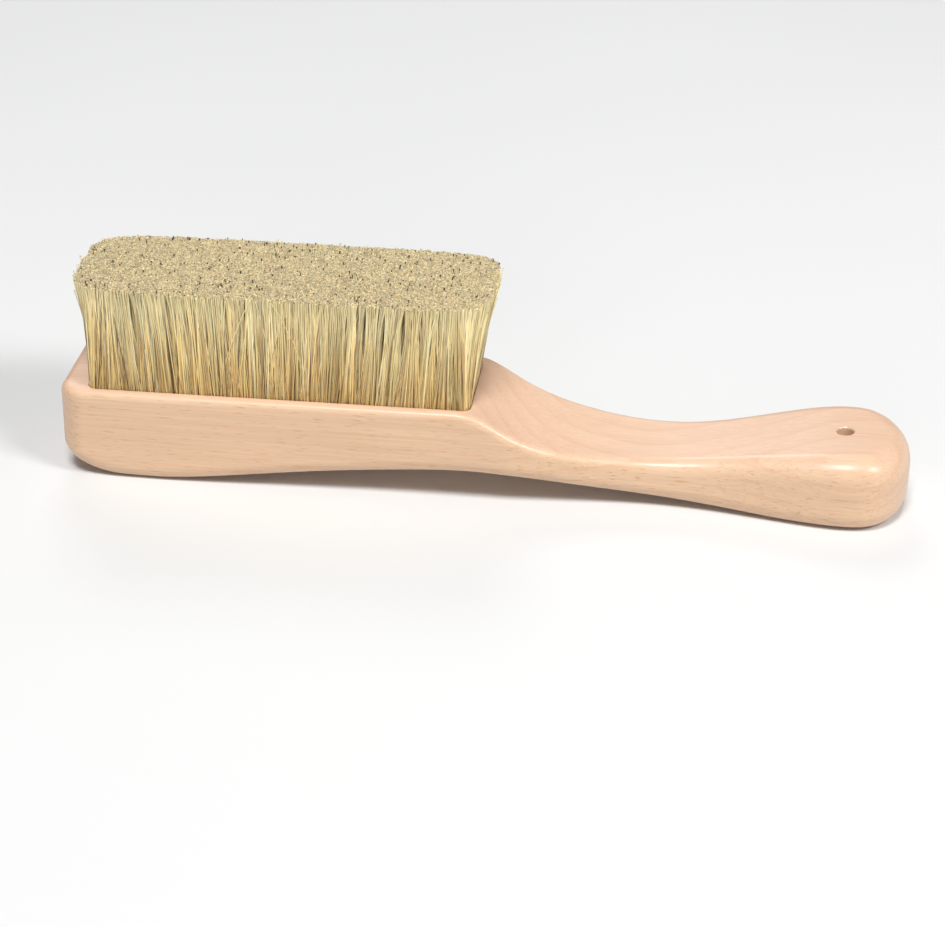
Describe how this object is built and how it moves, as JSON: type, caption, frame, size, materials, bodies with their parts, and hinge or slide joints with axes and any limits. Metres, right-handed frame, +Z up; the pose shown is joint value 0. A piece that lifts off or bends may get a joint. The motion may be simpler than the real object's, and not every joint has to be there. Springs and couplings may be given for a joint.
{
  "type": "body dry brush",
  "caption": "Long-handled wooden body brush: a block head with a dense flat-trimmed field of natural bristle, a thin neck and a paddle handle with a hanging hole.",
  "frame": {"origin": "centre of the bounding box in X and Y, on the surface that the brush lies on", "axes": "+X along the brush from the head to the handle's end, +Y across it, +Z up, the way the bristles point"},
  "size_m": [0.2986, 0.0524, 0.0739],
  "materials": {
    "beech": "satin lacquer over straight-grained pale pinkish beech",
    "board_wood": "bare, drilled hardwood",
    "adhesive": "cured wood glue, matte",
    "boar_bristle": "cream-yellow natural bristle with some brown and grey hairs, flat-trimmed",
    "anchor_wire": "plain flat wire"
  },
  "bodies": {
    "root": {"handle_body": "beech", "bristle_board": "board_wood", "adhesive_bed": "adhesive", "tuft_row_01": "boar_bristle", "tuft_row_02": "boar_bristle", "tuft_row_03": "boar_bristle", "tuft_row_04": "boar_bristle", "tuft_row_05": "boar_bristle", "tuft_row_06": "boar_bristle", "tuft_row_07": "boar_bristle", "tuft_row_08": "boar_bristle", "tuft_row_09": "boar_bristle", "tuft_row_10": "boar_bristle", "tuft_row_11": "boar_bristle", "tuft_row_12": "boar_bristle", "tuft_row_13": "boar_bristle", "tuft_row_14": "boar_bristle", "tuft_row_15": "boar_bristle", "tuft_row_16": "boar_bristle", "tuft_row_17": "boar_bristle", "tuft_row_18": "boar_bristle", "tuft_row_19": "boar_bristle", "tuft_row_20": "boar_bristle", "tuft_row_21": "boar_bristle", "anchor_row_01": "anchor_wire", "anchor_row_02": "anchor_wire", "anchor_row_03": "anchor_wire", "anchor_row_04": "anchor_wire", "anchor_row_05": "anchor_wire", "anchor_row_06": "anchor_wire", "anchor_row_07": "anchor_wire", "anchor_row_08": "anchor_wire", "anchor_row_09": "anchor_wire", "anchor_row_10": "anchor_wire", "anchor_row_11": "anchor_wire", "anchor_row_12": "anchor_wire", "anchor_row_13": "anchor_wire", "anchor_row_14": "anchor_wire", "anchor_row_15": "anchor_wire", "anchor_row_16": "anchor_wire", "anchor_row_17": "anchor_wire", "anchor_row_18": "anchor_wire", "anchor_row_19": "anchor_wire", "anchor_row_20": "anchor_wire", "anchor_row_21": "anchor_wire"}
  },
  "joints": []
}
